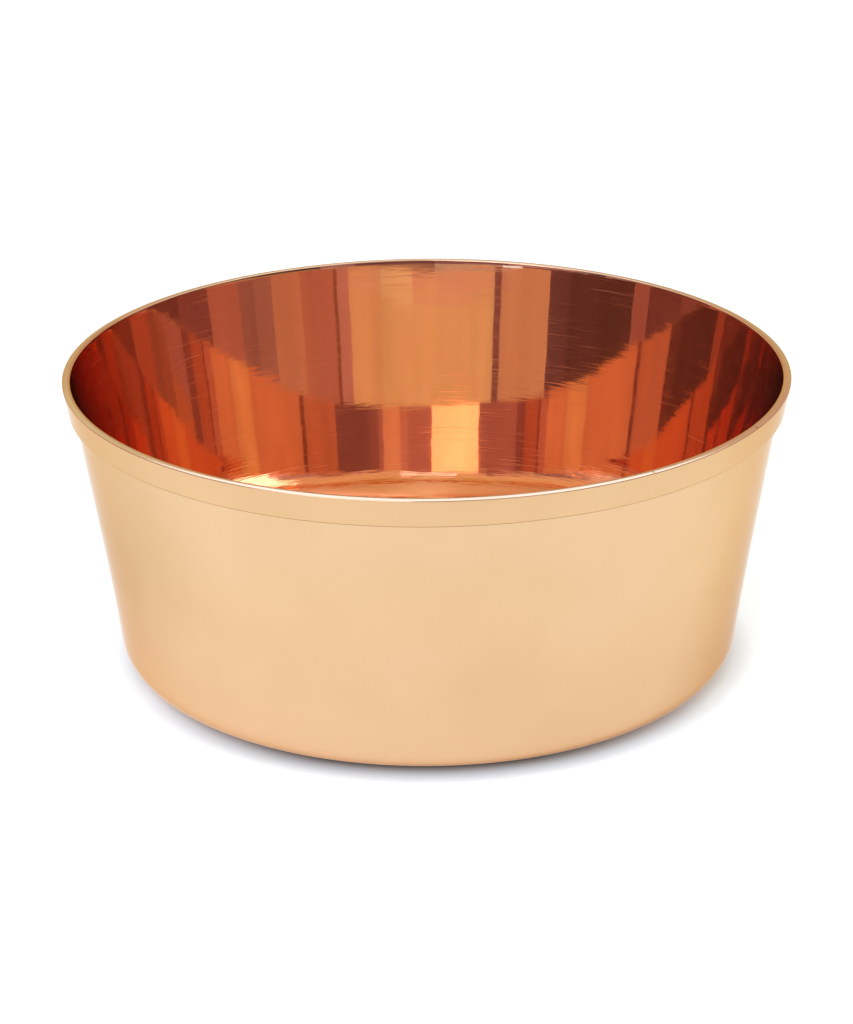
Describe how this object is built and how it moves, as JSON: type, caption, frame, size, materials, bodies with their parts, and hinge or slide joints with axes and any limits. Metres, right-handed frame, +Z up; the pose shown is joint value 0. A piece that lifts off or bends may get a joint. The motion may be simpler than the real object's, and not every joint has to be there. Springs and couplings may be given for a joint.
{
  "type": "copper bowl",
  "caption": "Straight-sided round bowl of polished copper sheet with a flat base, rounded lower corner, walls that lean out, and a brazed stiffening band round the rim.",
  "frame": {"origin": "centre of the flat base, on the surface that the bowl stands on", "axes": "+Z up along the axis of the bowl; the bowl is the same all round, so +X and +Y are free"},
  "size_m": [0.2198, 0.2198, 0.091],
  "materials": {
    "copper_shell": "mirror-polished copper with faint turning lines",
    "copper_band": "mirror-polished copper, edges softened by polishing"
  },
  "bodies": {
    "root": {"bowl_shell": "copper_shell", "rim_band": "copper_band"}
  },
  "joints": []
}
